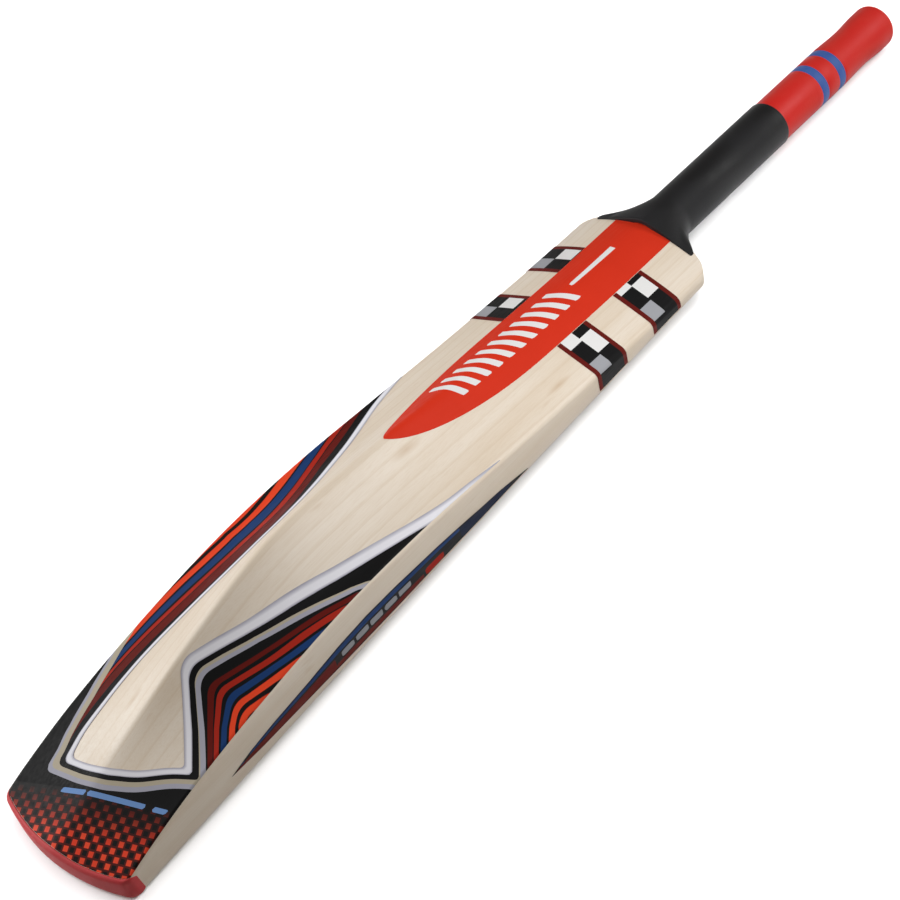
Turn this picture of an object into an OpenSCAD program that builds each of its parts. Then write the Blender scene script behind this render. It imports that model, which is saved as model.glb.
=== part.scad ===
// Cricket bat lying on its face: toe at -Y, handle at +Y, spine up.
// Every blade shape is written in x (across), s (distance from the toe) and z (above the ground).

/* [Blade] */
// Length of the willow blade, toe tip to shoulders
blade_l = 575; // [560:1:590]
// Width of the blade
blade_w = 108; // [100:1:108]
// Thickness of the blade's side where it is thickest
edge_max = 42; // [34:1:42]
// Thickness from face to ridge where it is thickest
spine_max = 70; // [60:1:72]
// Rounding of the long corners
corner_r = 3; // [2:0.5:3]
// Height of the face at the shoulders, with the bat lying on its face
face_rise = 17.3; // [15:0.1:20]
// Hollow of the face along its length
face_bow = 5; // [3:0.5:7]
// Thickness of the rubber on the toe
guard_t = 3; // [2:0.5:4]

/* [Splice] */
// Depth of the handle's tongue below the shoulders
splice_l = 150; // [130:1:160]
// Width of the tongue at the shoulders
splice_w = 37; // [34:1:38]
// Width of the tongue at its tip
splice_tip_w = 8; // [6:1:10]

/* [Handle] */
// Length of the handle above the shoulders
handle_l = 284; // [278:1:292]
// Radius of the bare cane
cane_r = 14.2; // [13:0.1:14.4]
// Tilt of the handle towards the face, in degrees
handle_tilt = 2.5; // [1.5:0.1:3]
// Thickness of each rubber strip between the canes
insert_t = 1.4; // [1:0.1:2]
// Distance from the middle rubber strip to the outer ones
insert_pitch = 8.6; // [8:0.1:9]
// Width of the middle column of canes
cane_w = 12; // [11:0.5:13]
// Thickness of the twine whipping
twine_t = 0.8; // [0.6:0.1:1]

/* [Grips] */
// Outer radius of the lower grip
lower_grip_r = 17.5; // [17.2:0.1:18]
// Outer radius of the upper grip
upper_grip_r = 16.8; // [16.4:0.1:17]
// Radius of the upper grip where it is slimmest
waist_r = 15.9; // [15.8:0.1:16.2]
// Distance along the handle where the two grips meet
grip_joint = 139; // [130:1:145]
// Half width of the lower grip's flare over the shoulders
flare_half_w = 40; // [32:1:42]
// Width of each blue band
band_w = 8; // [6:0.5:9]

/* [Stickers] */
// Thickness of the stickers
sticker_t = 0.25; // [0.2:0.05:0.3]
// Half width of the ridge label
label_half_w = 23; // [20:0.5:26]
// Width of each checked band
check_w = 30; // [25:1:31]

/* [Hidden] */
$fn = 96;

half_w = blade_w / 2;
// The handle's own axis starts this far below the shoulders' crown
root_below = 10;
root_s = blade_l - root_below;
root_z = face_rise + 12.4;
// Distances along the handle's axis to the end of the cane and to the end of the upper grip
handle_end = root_below + handle_l - 6;
grip_end = root_below + handle_l - 4;
end_s = root_s + grip_end * cos(handle_tilt);
mid_s = (end_s - guard_t) / 2;

// Plan outline: shallow arcs and corner roundings at both ends
toe_arc_r = 138;
toe_corner_r = 5;
// The toe is cut away towards the face by this much
toe_slant = 1.6;
shoulder_arc_r = 120;
shoulder_corner_r = 9;

// Side view and sections, as fractions of the blade's length and of the thickest place:
// [distance, side, ridge, fullness of the flanks, softness of the ridge in mm]
SECTIONS = [
    [0.00, 0.35, 0.27, 1.2, 3], [0.05, 0.55, 0.39, 1.3, 3], [0.12, 0.75, 0.58, 1.5, 2.5],
    [0.22, 0.91, 0.82, 1.8, 2.5], [0.35, 1.00, 1.00, 1.8, 2.5], [0.47, 0.92, 0.92, 1.8, 2.5],
    [0.59, 0.72, 0.76, 1.6, 4], [0.73, 0.48, 0.55, 1.1, 8], [0.87, 0.29, 0.43, 0.9, 10],
    [1.00, 0.17, 0.36, 0.7, 12]
];

// Smooth curve through one column of SECTIONS
function place(t) = max([for (i = [0:len(SECTIONS) - 2]) if (i == 0 || SECTIONS[i][0] <= t) i]);
function lean(i, c) =
    let (a = SECTIONS[max(i - 1, 0)], b = SECTIONS[min(i + 1, len(SECTIONS) - 1)])
    (b[c] - a[c]) / (b[0] - a[0]);
function column(c, s) =
    let (t = min(max(s / blade_l, 0), 1), i = place(t), a = SECTIONS[i], b = SECTIONS[i + 1])
    let (d = b[0] - a[0], u = (t - a[0]) / d)
    (2 * u^3 - 3 * u^2 + 1) * a[c] + (u^3 - 2 * u^2 + u) * d * lean(i, c)
    + (3 * u^2 - 2 * u^3) * b[c] + (u^3 - u^2) * d * lean(i + 1, c);

// Drop of an arc of radius r at distance x from its middle, and of a corner of radius r
function arc_drop(x, r) = r - sqrt(r * r - x * x);
function corner_drop(x, r) = arc_drop(min(max(abs(x) - (half_w - r), 0), r), r);

// Heights of the face and the back
function face_mid(s) = let (t = s / blade_l) face_rise * t + 4 * face_bow * t * (1 - t);
function face_z(x, s) = face_mid(s) + corner_drop(x, corner_r);
function side_z(s) = face_mid(s) + edge_max * column(1, s);
function ridge_z(s) = face_mid(s) + spine_max * column(2, s);
function soft(x, k) = sqrt(x * x + k * k) - k;
function back_z(x, s) =
    let (k = column(4, s), q = min(soft(x, k) / soft(half_w, k), 1))
    side_z(s) + (ridge_z(s) - side_z(s)) * pow(1 - q, column(3, s)) - corner_drop(x, corner_r);
function toe_s(x) = arc_drop(x, toe_arc_r) + corner_drop(x, toe_corner_r);
function shoulder_s(x) = blade_l - arc_drop(x, shoulder_arc_r) - corner_drop(x, shoulder_corner_r);

// A closed solid between two grids of points with the same rows and columns
module slab_between(low, high) {
    rows = len(low);
    cols = len(low[0]);
    n = rows * cols;
    function at(r, c) = r * cols + c;
    low_faces = [for (r = [0:rows - 2], c = [0:cols - 2], half = [0, 1])
        half == 0 ? [at(r, c), at(r, c + 1), at(r + 1, c + 1)] : [at(r, c), at(r + 1, c + 1), at(r + 1, c)]];
    high_faces = [for (f = low_faces) [n + f[2], n + f[1], n + f[0]]];
    rim = concat(
        [for (c = [0:cols - 1]) at(0, c)],
        [for (r = [1:rows - 1]) at(r, cols - 1)],
        [for (c = [cols - 2:-1:0]) at(rows - 1, c)],
        [for (r = [rows - 2:-1:1]) at(r, 0)]
    );
    m = len(rim);
    rim_faces = [for (i = [0:m - 1], half = [0, 1]) let (j = (i + 1) % m)
        half == 0 ? [rim[i], n + rim[i], n + rim[j]] : [rim[i], n + rim[j], rim[j]]];
    points = concat([for (row = low, p = row) p], [for (row = high, p = row) p]);
    polyhedron(points, concat(low_faces, high_faces, rim_faces), convexity = 6);
}

// Everything along the blade is drawn with the toe at s = 0 and then centred
module on_ground() {
    translate([0, -mid_s, 0]) children();
}

// Children are drawn along +Z from the handle's root, with +Y towards the spine side
module on_handle() {
    on_ground()
        translate([0, root_s, root_z])
            rotate([-90 - handle_tilt, 0, 0])
                mirror([0, 1, 0]) children();
}

function across(i, n) = half_w * sin(90 * (2 * i / n - 1));
BLADE_COLS = 26;
BLADE_ROWS = 30;

module blade_form() {
    function cells(slant) = [for (j = [0:BLADE_ROWS]) [for (i = [0:BLADE_COLS])
        let (x = across(i, BLADE_COLS), v = j / BLADE_ROWS)
        [x, (toe_s(x) + slant) * (1 - v) + shoulder_s(x) * v]]];
    slab_between(
        [for (row = cells(toe_slant)) [for (p = row) [p[0], p[1], face_z(p[0], p[1])]]],
        [for (row = cells(0)) [for (p = row) [p[0], p[1], back_z(p[0], p[1])]]]
    );
}

// The tongue and its slot, seen from above
module splice_plan() {
    tip_s = blade_l - splice_l;
    overrun = 4;
    widen = (splice_w - splice_tip_w) * overrun / splice_l;
    polygon([
        [-splice_tip_w / 2, tip_s], [splice_tip_w / 2, tip_s],
        [(splice_w + widen) / 2, blade_l + overrun], [-(splice_w + widen) / 2, blade_l + overrun]
    ]);
}

module blade() {
    color([0.90, 0.83, 0.70])
        on_ground() difference() {
            blade_form();
            linear_extrude(spine_max + face_rise) splice_plan();
        }
}

// Cane tongue inside the slot, flush with the face and the back
module tongue() {
    reach = splice_w / 2 + 1;
    cols = 8;
    rows = 10;
    tip_s = blade_l - splice_l - 2;
    cells = [for (j = [0:rows]) [for (i = [0:cols])
        let (x = reach * (2 * i / cols - 1), v = j / rows)
        [x, tip_s * (1 - v) + shoulder_s(x) * v]]];
    on_ground() intersection() {
        slab_between(
            [for (row = cells) [for (p = row) [p[0], p[1], face_z(p[0], p[1])]]],
            [for (row = cells) [for (p = row) [p[0], p[1], back_z(p[0], p[1])]]]
        );
        linear_extrude(spine_max + face_rise) splice_plan();
    }
}

// Whole handle: the tongue, and the round shaft that starts inside it
module handle_form() {
    tongue();
    on_handle() translate([0, 0, root_below - 4]) cylinder(h = handle_end - root_below + 4, r = cane_r);
}

// Space of one layer of the handle, between the rubber strips
HUGE = 60;
layer_edges = [-HUGE, -insert_pitch, 0, insert_pitch, HUGE];
column_edges = [-HUGE, -cane_w / 2, cane_w / 2, HUGE];
module cell(x0, x1, y0, y1) {
    below = splice_l + 10;
    on_handle() translate([x0, y0, -below]) cube([x1 - x0, y1 - y0, below + handle_end + 1]);
}

module cane(layer, col) {
    gap = insert_t / 2;
    color([0.80, 0.66, 0.42])
        intersection() {
            handle_form();
            cell(
                column_edges[col - 1], column_edges[col],
                layer_edges[layer - 1] + gap, layer_edges[layer] - gap
            );
        }
}

module insert_strip(i) {
    y = (i - 2) * insert_pitch;
    color([0.12, 0.12, 0.12])
        intersection() {
            handle_form();
            cell(-HUGE, HUGE, y - insert_t / 2, y + insert_t / 2);
        }
}

module twine_binding() {
    start = root_below + 4;
    color([0.86, 0.82, 0.72])
        on_handle() translate([0, 0, start]) difference() {
            cylinder(h = handle_end - start, r = cane_r + twine_t);
            translate([0, 0, -1]) cylinder(h = handle_end - start + 2, r = cane_r);
        }
}

// Lower grip: a tube whose foot spreads sideways into thin wings over the shoulders
lap = 10;
lap_r = upper_grip_r - 0.6;
foot_t = -1;
flare_from = 2;
flare_l = 28;
function flare(t) = pow(min(max(1 - (t - flare_from) / flare_l, 0), 1), 1.5);
function bulge(v, p) = sign(v) * pow(abs(v), p);
function grip_point(a, t, r) = let (f = flare(t), p = 2 / (2 - 0.7 * f)) [
    (r + (flare_half_w - lower_grip_r) * f) * bulge(cos(a), p),
    (r + 1.2 * f) * bulge(sin(a), p), t
];

// The end of the blade that the foot of the grip sits on
module shoulder_form() {
    reach = flare_half_w + 4;
    cols = 12;
    rows = 4;
    from_s = root_s - 8;
    cells = [for (j = [0:rows]) [for (i = [0:cols])
        let (x = reach * (2 * i / cols - 1), v = j / rows)
        [x, from_s * (1 - v) + shoulder_s(x) * v]]];
    slab_between(
        [for (row = cells) [for (p = row) [p[0], p[1], face_z(p[0], p[1])]]],
        [for (row = cells) [for (p = row) [p[0], p[1], back_z(p[0], p[1]) + sticker_t + 0.1]]]
    );
}

module lower_grip() {
    sides = 40;
    ring_gap = 3;
    rings = concat(
        [for (t = [foot_t:ring_gap:flare_from + flare_l + ring_gap]) [t, lower_grip_r]],
        [[grip_joint + lap - 1, lower_grip_r], [grip_joint + lap, lower_grip_r - 0.8]]
    );
    n = len(rings);
    points = [for (ring = rings, k = [0:sides - 1]) grip_point(360 * k / sides, ring[0], ring[1])];
    skin = [for (j = [0:n - 2], k = [0:sides - 1]) let (next = (k + 1) % sides)
        [j * sides + k, (j + 1) * sides + k, (j + 1) * sides + next, j * sides + next]];
    foot = [for (k = [0:sides - 1]) k];
    top = [for (k = [sides - 1:-1:0]) (n - 1) * sides + k];
    color([0.16, 0.16, 0.17])
        difference() {
            on_handle() difference() {
                polyhedron(points, concat(skin, [foot, top]), convexity = 6);
                translate([0, 0, foot_t - 1]) cylinder(h = handle_l, r = cane_r + twine_t);
                translate([0, 0, grip_joint]) cylinder(h = lap + 1, r = lap_r);
            }
            on_ground() shoulder_form();
        }
}

// Upper grip: its lower end slips under the lower grip, its top end turns in over the cane
band_from = [194, 215.5];
lip_r = 10.5;
module upper_grip_solid() {
    waist_t = band_from[1] + band_w + 30;
    bulb_t = grip_end - 13;
    bulb_r = upper_grip_r + 0.2;
    rim_r = 5;
    rotate_extrude() polygon(concat(
        [[cane_r + twine_t, grip_joint], [lap_r, grip_joint], [lap_r, grip_joint + lap],
            [upper_grip_r, grip_joint + lap]],
        [for (a = [0:20:180])
            [upper_grip_r - (upper_grip_r - waist_r) * (1 - cos(a)) / 2, band_from[1] + band_w + a / 6]],
        [for (a = [20:20:180])
            [waist_r + (bulb_r - waist_r) * (1 - cos(a)) / 2, waist_t + (bulb_t - waist_t) * a / 180]],
        [for (a = [15:15:90]) [bulb_r - rim_r + rim_r * cos(a), grip_end - rim_r + rim_r * sin(a)]],
        [[lip_r, grip_end], [lip_r, handle_end], [cane_r + twine_t, handle_end]]
    ));
}

inlay_t = 0.6;
module band_ring(i, grow) {
    translate([0, 0, band_from[i - 1]]) difference() {
        cylinder(h = band_w, r = upper_grip_r + grow);
        translate([0, 0, -1]) cylinder(h = band_w + 2, r = upper_grip_r - inlay_t);
    }
}

module upper_grip() {
    color([0.83, 0.16, 0.12])
        on_handle() difference() {
            upper_grip_solid();
            for (i = [1:2]) band_ring(i, 1);
        }
}

module grip_band(i) {
    color([0.25, 0.40, 0.68])
        on_handle() band_ring(i, 0);
}

// Rubber glued on the slanted end of the toe, from the back's edge round to the face
module toe_guard() {
    function profile(x) =
        let (s = toe_s(x), drop = corner_drop(x, corner_r), inner_s = s + toe_slant)
        [[s, back_z(x, s)], [s - 0.75 * guard_t, back_z(x, s) - 0.35 * guard_t],
            [s - guard_t, back_z(x, s) - guard_t], [s - guard_t, drop + 5],
            [s - 0.5 * guard_t, drop + 1.6], [s + toe_slant / 2, drop], [inner_s, face_z(x, inner_s)]];
    stations = [for (i = [0:BLADE_COLS]) across(i, BLADE_COLS)];
    n = len(profile(0));
    points = [for (x = stations, p = profile(x)) [x, p[0], p[1]]];
    skin = [for (i = [0:BLADE_COLS - 1], k = [0:n - 1], half = [0, 1])
        let (a = i * n + k, b = i * n + (k + 1) % n)
        half == 0 ? [b, a, b + n] : [a, a + n, b + n]];
    caps = [[for (k = [0:n - 1]) k], [for (k = [n - 1:-1:0]) BLADE_COLS * n + k]];
    color([0.76, 0.22, 0.22])
        on_ground() polyhedron(points, concat(skin, caps), convexity = 4);
}

// Stickers: a thin sheet on the back over a grid of [x, s] cells
sticker_gap = 0.04;
module back_sheet(cells) {
    slab_between(
        [for (row = cells) [for (p = row) [p[0], p[1], back_z(p[0], p[1]) + sticker_gap]]],
        [for (row = cells) [for (p = row) [p[0], p[1], back_z(p[0], p[1]) + sticker_gap + sticker_t]]]
    );
}

// Long label on the ridge, pointed towards the toe, with its top under the lower grip
label_tip_s = 305;
label_full_s = 430;
label_top_s = 566;
function label_half(s) =
    let (u = min((s - label_tip_s) / (label_full_s - label_tip_s), 1))
    max(label_half_w * sin(90 * pow(max(u, 0), 0.66)), 0.3);
module ridge_label() {
    rows = 26;
    cols = 12;
    color([0.84, 0.20, 0.11])
        on_ground() back_sheet([for (j = [0:rows]) [for (i = [0:cols])
            let (s = label_tip_s + (label_top_s - label_tip_s) * pow(j / rows, 1.3))
            [label_half(s) * (2 * i / cols - 1), s]]]);
}

// A checked band runs from the ridge label over the long corner and down the side
check_from = [441.5, 500.5];
module check_band(i) {
    rows = 3;
    inner_x = label_half_w + 0.4;
    flat_x = half_w - corner_r;
    side_foot = corner_r + 0.5;
    profile = concat(
        [for (k = [0:5]) [inner_x + (flat_x - inner_x) * k / 5, 0, 0]],
        [for (a = [15:15:90]) [flat_x + corner_r * sin(a), a, 0]],
        [for (k = [1:2]) [half_w, 90, k / 2]]
    );
    function skin_point(p, s, out) =
        let (top = back_z(p[0], s), low = face_mid(s) + side_foot)
        [p[0] + out * sin(p[1]), s, top + (low - top) * p[2] + out * cos(p[1])];
    stations = [for (j = [0:rows]) check_from[i - 1] + check_w * j / rows];
    color([0.15, 0.15, 0.15])
        on_ground() slab_between(
            [for (s = stations) [for (p = profile) skin_point(p, s, sticker_gap)]],
            [for (s = stations) [for (p = profile) skin_point(p, s, sticker_gap + sticker_t)]]
        );
}

// Large sheet over the toe end, open around a window of bare willow, written as [x, s]
sheet_edge_x = half_w - 1.2;
toe_margin = 0.3;
WINDOW_RIGHT = [[52, 338], [50.5, 320], [49, 300], [45.5, 280], [40.7, 260], [36, 240], [31.5, 220],
    [27.8, 206], [23.7, 190], [17, 162], [9, 138], [4, 122], [3.5, 117]];
WINDOW_FOOT = [[5, 113], [12, 104], [30, 86], [38, 79], [39.5, 76.5], [38, 73], [20, 59.5], [8, 53],
    [0, 49.5], [-12, 46.5], [-22, 45], [-25.5, 46.5]];
WINDOW_LEFT = [[-28, 52], [-29.5, 60], [-30, 80], [-30, 95], [-29, 115], [-26.5, 135], [-22, 158],
    [-16.5, 180], [-12, 200], [-10, 220], [-12, 240], [-17, 260], [-23, 280], [-29.5, 300],
    [-38, 322], [-44.5, 340], [-49, 358]];
sheet_left_s = 372;
sheet_right_s = 346;
module back_graphic_plan() {
    steps = 16;
    toe_line = [for (i = [0:steps]) let (x = sheet_edge_x * (2 * i / steps - 1)) [x, toe_s(x) + toe_margin]];
    polygon(concat(
        toe_line, [[sheet_edge_x, sheet_right_s]], WINDOW_RIGHT, WINDOW_FOOT, WINDOW_LEFT,
        [[-sheet_edge_x, sheet_left_s]]
    ));
}
module back_graphic() {
    cols = 20;
    rows = 22;
    to_s = sheet_left_s + 2;
    reach = half_w - 0.6;
    color([0.10, 0.10, 0.11])
        on_ground() intersection() {
            back_sheet([for (j = [0:rows]) [for (i = [0:cols])
                let (x = reach * (2 * i / cols - 1), v = j / rows)
                [x, toe_s(x) * (1 - v) + to_s * v]]]);
            linear_extrude(spine_max + face_rise + 10) back_graphic_plan();
        }
}

// Tapered strip along one side, written as [s, height above the face]
SIDE_STRIP = [[93, 12], [120, 9.5], [150, 8], [190, 6], [240, 4.5], [280, 4], [320, 3.3], [366, 3.3],
    [340, 8.5], [320, 11], [300, 14], [280, 16.5], [240, 20.5], [215, 22], [190, 21.5], [160, 19],
    [130, 17.5], [110, 15.5]];
module side_graphic() {
    color([0.12, 0.13, 0.25])
        on_ground() translate([half_w + sticker_gap, 0, 0])
            rotate([90, 0, 90]) linear_extrude(sticker_t)
                polygon([for (p = SIDE_STRIP) [p[0], face_mid(p[0]) + p[1]]]);
}
module mirror_if(left) {
    if (left) mirror([1, 0, 0]) children();
    else children();
}

blade();
toe_guard();
for (layer = [1:4], col = [1:3])
    cane(layer, col);
for (i = [1:3]) insert_strip(i);
twine_binding();
lower_grip();
upper_grip();
for (i = [1:2]) grip_band(i);
ridge_label();
mirror_if(true) check_band(1);  // check_lower_left
mirror_if(false) check_band(1);  // check_lower_right
mirror_if(true) check_band(2);  // check_upper_left
mirror_if(false) check_band(2);  // check_upper_right
back_graphic();
mirror_if(true) side_graphic();  // side_graphic_left
mirror_if(false) side_graphic();  // side_graphic_right
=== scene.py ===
import math

import bpy
import numpy as np
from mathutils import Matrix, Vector


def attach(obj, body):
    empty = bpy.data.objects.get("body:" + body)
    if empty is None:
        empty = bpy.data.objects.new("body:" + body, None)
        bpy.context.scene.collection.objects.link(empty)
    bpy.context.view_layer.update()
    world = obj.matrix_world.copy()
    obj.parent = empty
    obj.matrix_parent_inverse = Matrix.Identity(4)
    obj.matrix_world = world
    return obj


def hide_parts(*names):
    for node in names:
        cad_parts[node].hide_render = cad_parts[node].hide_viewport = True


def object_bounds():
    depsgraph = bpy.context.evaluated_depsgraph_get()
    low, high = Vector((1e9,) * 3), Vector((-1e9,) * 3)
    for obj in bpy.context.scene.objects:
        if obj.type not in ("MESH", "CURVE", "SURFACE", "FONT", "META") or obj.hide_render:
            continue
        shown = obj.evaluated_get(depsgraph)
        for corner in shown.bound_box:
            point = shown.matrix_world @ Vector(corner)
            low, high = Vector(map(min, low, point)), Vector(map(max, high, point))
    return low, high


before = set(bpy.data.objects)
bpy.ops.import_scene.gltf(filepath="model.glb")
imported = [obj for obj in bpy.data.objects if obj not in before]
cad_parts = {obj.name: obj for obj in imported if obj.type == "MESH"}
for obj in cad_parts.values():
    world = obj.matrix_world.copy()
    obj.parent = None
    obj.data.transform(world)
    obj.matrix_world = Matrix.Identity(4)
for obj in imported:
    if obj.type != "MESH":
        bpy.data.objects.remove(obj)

# ---------------------------------------------------------------- sizes, in mm, as the CAD has them
MM = 0.001
BLADE_L, HALF_W, EDGE_MAX, SPINE_MAX = 575.0, 54.0, 42.0, 70.0
CORNER_R, FACE_RISE, FACE_BOW, GUARD_T = 3.0, 17.3, 5.0, 3.0
TOE_ARC_R, TOE_CORNER_R, SHOULDER_ARC_R, SHOULDER_CORNER_R = 138.0, 5.0, 120.0, 9.0
SPLICE_L, SPLICE_W, SPLICE_TIP_W = 150.0, 37.0, 8.0
TILT, ROOT_S, ROOT_Z, GRIP_END = math.radians(2.5), 565.0, 29.7, 290.0
TWINE_R = 15.0
LOWER_R, UPPER_R, WAIST_R, BULB_R = 17.5, 16.8, 15.9, 17.0
FLARE_HALF_W, FLARE_FROM, FLARE_L = 40.0, 2.0, 28.0
GRIP_JOINT, LAP, LIP_R = 139.0, 10.0, 10.5
BAND_FROM, BAND_W = (194.0, 215.5), 8.0
LABEL_HALF_W, LABEL_TIP_S, LABEL_FULL_S, LABEL_TOP_S = 23.0, 305.0, 430.0, 566.0
CHECK_FROM, CHECK_W = (441.5, 500.5), 30.0
GAP, STICKER_T, DRAPE = 0.04, 0.25, 0.7

cad_low, cad_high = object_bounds()
MID_S = -GUARD_T - cad_low.y / MM

# distance, side, ridge, fullness of the flanks, softness of the ridge
SECTIONS = np.array([
    [0.00, 0.35, 0.27, 1.2, 3], [0.05, 0.55, 0.39, 1.3, 3], [0.12, 0.75, 0.58, 1.5, 2.5],
    [0.22, 0.91, 0.82, 1.8, 2.5], [0.35, 1.00, 1.00, 1.8, 2.5], [0.47, 0.92, 0.92, 1.8, 2.5],
    [0.59, 0.72, 0.76, 1.6, 4], [0.73, 0.48, 0.55, 1.1, 8], [0.87, 0.29, 0.43, 0.9, 10],
    [1.00, 0.17, 0.36, 0.7, 12]])

# The window of bare willow in the back sheet, as [x, s]
WINDOW_RIGHT = [(53, 352), (52, 338), (50.5, 320), (49, 300), (45.5, 280), (40.7, 260), (36, 240),
                (31.5, 220), (27.8, 206), (23.7, 190), (17, 162), (9, 138), (2, 117), (-8, 87)]
WINDOW_DIAGONAL = [(-16.5, 139.5), (3.5, 117), (39.5, 76.5), (59.5, 54)]
WINDOW_FOOT = [(66, 88), (38, 73), (20, 59.5), (8, 53), (0, 49.5), (-12, 46.5), (-22, 45), (-40, 42.5)]
WINDOW_LEFT = [(-24, 20), (-27, 45), (-29.5, 60), (-30, 80), (-30, 95), (-29, 115), (-26.5, 135), (-22, 158),
               (-16.5, 180), (-12, 200), (-10, 220), (-12, 240), (-17, 260), (-23, 280), (-29.5, 300),
               (-38, 322), (-44.5, 340), (-49, 358), (-52, 372)]
SHEET_EDGE_X, TOE_MARGIN, SHEET_RIGHT_S, SHEET_LEFT_S = 52.8, 0.1, 346.0, 372.0
TOE_SLANT = 1.6

# Where each printed stripe ends, as its distance out from the window's edge, at some places along it
UP_S = [117, 140, 160, 180, 200, 220, 240, 260, 280, 300, 340]
UP = {
    "silver": [5.6, 6.0, 6.2, 7.2, 7.6, 7.7, 7.8, 7.8, 7.6, 7.2, 7.0],
    "tan": [8.6, 8.8, 9.4, 11.0, 13.2, 16.0, 22, 26, 30, 30, 30],
    "lilac": [10.2, 10.4, 10.8, 12.5, 14.6, 17.0, 23, 27, 31, 31, 31],
    "black": [12.4, 12.6, 12.9, 15.0, 17.2, 19.6, 25, 29, 33, 33, 33],
    "dark_red_in": [18.4, 18.3, 18, 18.4, 19, 21, 26, 31, 35, 35, 35],
    "dark_red_out": [21.3, 21.2, 20.6, 21.4, 22.4, 24, 30, 34, 38, 38, 38],
    "red_in": [23.4, 23.4, 23.2, 22.6, 23.2, 24.8, 31, 35, 39, 39, 39],
    "red_out": [26.6, 26.6, 26.6, 26.8, 27.2, 29, 36, 40, 44, 44, 44],
    "navy_in": [29, 29, 28.2, 28.6, 29, 31, 38, 42, 46, 46, 46],
    "navy_out": [33, 33, 32, 32.4, 33, 36, 42, 46, 50, 50, 50],
    "orange_in": [35.3, 35.3, 34, 34, 34.5, 38, 44, 48, 52, 52, 52],
    "orange_out": [39, 39, 38.3, 38.3, 39, 42, 48, 52, 56, 56, 56],
    "orange2_in": [42, 42, 41.5, 41.5, 42, 46, 52, 56, 60, 60, 60],
    "orange2_out": [46, 46, 45.5, 45.5, 46, 50, 56, 60, 64, 64, 64],
}
DOWN_S = [76, 90, 100, 110, 125]
DOWN = {
    "silver": [4.6, 4.8, 4.3, 4.3, 4.3],
    "tan": [8.6, 8.4, 7.8, 7.4, 7.4],
    "lilac": [9.4, 8.8, 8.0, 7.6, 7.6],
    "black": [12.6, 12.0, 11.0, 10.4, 10.4],
    "dark_red_in": [13.6, 13.6, 14.0, 14.6, 14.6],
    "dark_red_out": [16.6, 16.8, 17.6, 18.6, 18.6],
    "red_in": [17.2, 17.4, 18.8, 20.2, 20.2],
    "red_out": [20.0, 20.4, 22.0, 23.4, 23.4],
    "navy_in": [21.0, 21.8, 24.4, 26.2, 26.2],
    "navy_out": [24.4, 25.0, 27.8, 29.8, 29.8],
    "orange_in": [25.6, 26.4, 29.2, 31.4, 31.4],
    "orange_out": [29.2, 29.8, 32.4, 34.6, 34.6],
    "orange2_in": [31, 31.8, 34.6, 37, 37],
    "orange2_out": [34.5, 35.2, 38.0, 40.6, 40.6],
}
FOOT = {"silver": 3.8, "tan": 6.4, "lilac": 9.0, "black": 11.8}
LEFT_S = [46, 60, 80, 100, 120, 140, 160, 180, 200, 220, 240, 260, 280, 300, 320, 340, 358]
LEFT = {
    "silver": [3.6, 3.2, 2.8, 2.6, 2.6, 2.7, 3.0, 3.3, 3.7, 4.0, 4.3, 4.5, 4.6, 4.5, 4.3, 4.0, 3.6],
    "tan": [6.6, 8.0, 11.3, 16.2, 22.5, 31, 40, 50, 60, 60, 60, 60, 60, 60, 60, 60, 60],
    "lilac": [10.4, 11.6, 15.0, 20.0, 26.5, 35, 44, 54, 64, 64, 64, 64, 64, 64, 64, 64, 64],
    "black": [12.2, 13.4, 17.2, 21.6, 28, 37, 46, 56, 66, 66, 66, 66, 66, 66, 66, 66, 66],
    "dark_red_in": [7, 7, 7, 6.4, 5.7, 5.1, 4.8, 4.9, 5.4, 5.8, 7.0, 9.0, 10.6, 10.2, 9.6, 9.0, 9.0],
    "dark_red_out": [11, 11, 11.4, 12, 11.6, 11.8, 12.4, 14, 15, 15, 14.3, 14.5, 15.4, 16, 14, 12, 12],
    "red_out": [14, 14, 14.5, 14.6, 15, 15.6, 16.6, 18.3, 20, 20.4, 20.2, 20, 20.4, 20.3, 19, 18, 18],
    "navy_in": [15, 15, 15.4, 15.6, 16.2, 17.3, 18.7, 20.2, 22, 22, 21.6, 21, 21.2, 21.3, 21, 20, 20],
    "navy_out": [18, 18, 18, 18.4, 19.4, 21.7, 23.8, 26.2, 29.4, 30.4, 29, 27.6, 27, 26, 26, 26, 26],
    "orange_in": [19, 19, 19, 19.6, 20.7, 23, 25.6, 28, 31, 31.6, 30.3, 29, 28.2, 27, 27, 27, 27],
    "orange_out": [24, 24, 24, 24.4, 25.2, 27.2, 30, 33, 36, 36.2, 35.6, 34.6, 34, 33, 33, 33, 33],
    "orange2_in": [26, 26, 26, 26.4, 27.4, 30, 33, 36, 39, 39.4, 39, 38, 37, 36, 36, 36, 36],
}

# The printed strip on the side, its lower and upper edges as [s, height above the face]
STRIP_LOW = [(93, 12), (120, 9.5), (150, 8), (190, 6), (240, 4.5), (280, 4), (320, 3.3), (366, 3.3)]
STRIP_HIGH = [(93, 12), (110, 15.5), (130, 17.5), (160, 19), (190, 21.5), (215, 22), (240, 20.5), (280, 16.5),
              (300, 14), (320, 11), (340, 8.5), (366, 3.3)]


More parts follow.
